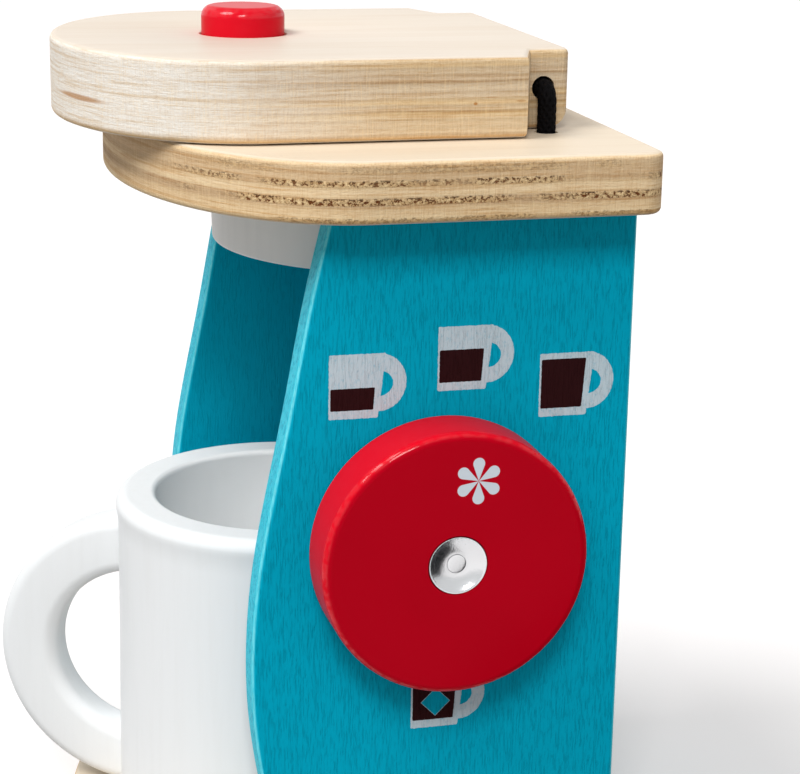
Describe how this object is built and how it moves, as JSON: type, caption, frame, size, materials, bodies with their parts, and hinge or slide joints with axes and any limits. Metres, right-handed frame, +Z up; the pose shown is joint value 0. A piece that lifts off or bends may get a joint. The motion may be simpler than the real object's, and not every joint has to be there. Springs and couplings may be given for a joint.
{
  "type": "toy coffee maker",
  "caption": "Wooden toy coffee maker with an elastic-hinged lid, push button, turning dial and a mug on its base.",
  "frame": {"origin": "middle of the base board's underside", "axes": "+X to the dial side, +Y to the rear (the mug's handle points to -Y, turned 26 degrees towards -X), +Z up"},
  "size_m": [0.1268, 0.1208, 0.1899],
  "materials": {
    "plywood": "bare plywood boards with open end grain on the edges",
    "lid_plywood": "pale sanded plywood",
    "teal_paint": "plywood panels under satin teal paint",
    "red_paint": "turned wood under glossy red paint",
    "white_paint": "turned wood under satin white paint",
    "beech": "bare beech dowel",
    "steel": "polished steel",
    "black_elastic": "braided elastic cord"
  },
  "bodies": {
    "machine": {"base_plate": "plywood", "base_screw_1": "steel", "base_screw_2": "steel", "base_screw_3": "steel", "base_screw_4": "steel", "left_side_panel": "teal_paint", "right_side_panel": "teal_paint", "back_panel": "teal_paint", "top_plate": "plywood", "top_dowel_1": "beech", "top_dowel_2": "beech", "top_dowel_3": "beech", "top_dowel_4": "beech", "brew_head": "white_paint", "head_dowel_1": "beech", "head_dowel_2": "beech", "hinge_cord": "black_elastic", "cord_clip_left": "steel", "cord_clip_right": "steel", "dial_screw": "steel", "dial_nut": "steel"},
    "lid": {"lid": "lid_plywood", "button_cover": "beech", "cover_screw_1": "steel", "cover_screw_2": "steel", "button_spring": "steel"},
    "button": {"push_button": "red_paint"},
    "dial": {"dial_knob": "red_paint", "dial_cup_washer": "steel"},
    "mug": {"mug_body": "white_paint", "mug_handle": "white_paint", "handle_dowel_lower": "beech", "handle_dowel_upper": "beech"}
  },
  "joints": [
    {"name": "lid_hinge", "type": "hinge", "parent": "machine", "child": "lid", "pos_m": [0, 0.0385, 0.1764], "axis": [-1, 0, 0], "range_deg": [0, 105]},
    {"name": "button_press", "type": "slide", "parent": "lid", "child": "button", "axis": [0, 0, -1], "range_m": [0, 0.0035], "stiffness_N_per_m": 200, "springref_m": -0.003, "deforming": ["button_spring"]},
    {"name": "dial_spin", "type": "hinge", "parent": "machine", "child": "dial", "pos_m": [0.05055, 0.014, 0.0885], "axis": [1, 0, 0], "continuous": true},
    {"name": "mug_slide", "type": "slide", "parent": "machine", "child": "mug", "axis": [0, -1, 0], "range_m": [0, 0.1]}
  ]
}
